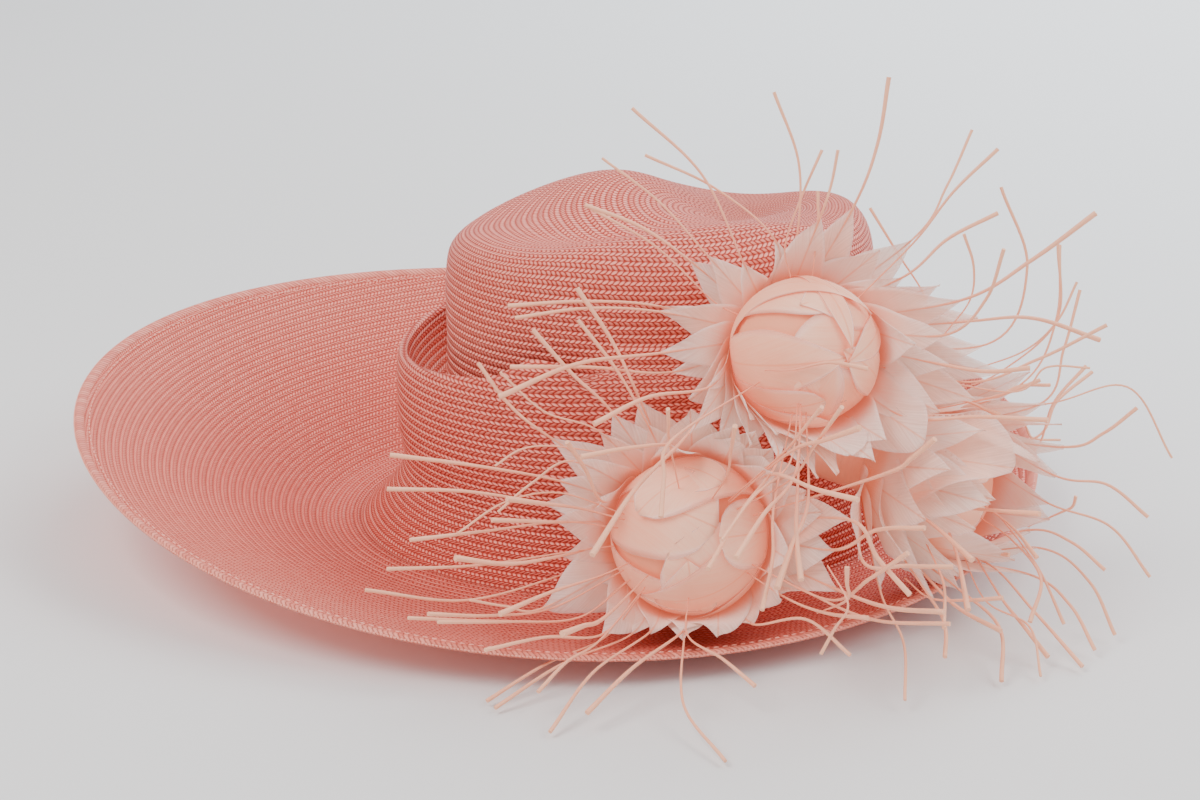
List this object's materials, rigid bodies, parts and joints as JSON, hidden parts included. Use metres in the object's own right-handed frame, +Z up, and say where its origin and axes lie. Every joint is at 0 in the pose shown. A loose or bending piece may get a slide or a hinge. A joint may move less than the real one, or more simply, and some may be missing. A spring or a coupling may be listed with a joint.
{
  "type": "wide-brimmed straw occasion hat",
  "caption": "Wide-brimmed woven straw hat with a dented crown, a stand-up collar fold and feather flowers with long bare quills.",
  "frame": {"origin": "centre of the whole hat's footprint box, on the surface that the brim rests on", "axes": "+X to the right as the hat is seen from its trimmed front, +Y from that front towards the back, +Z up through the crown"},
  "size_m": [0.5321, 0.5155, 0.2505],
  "materials": {
    "straw": "fine salmon-pink straw braid in a herringbone weave, satin sheen",
    "petals": "pale blush feathers, soft and thin, with bare cream quills",
    "buds": "pale peach feather petals wrapped in a ball, soft and matt"
  },
  "bodies": {
    "root": {"crown": "straw", "brim": "straw", "brim_hem": "straw", "flower_top_bud": "buds", "flower_top_feathers": "petals", "flower_front_bud": "buds", "flower_front_feathers": "petals", "flower_side_bud": "buds", "flower_side_feathers": "petals"}
  },
  "joints": []
}
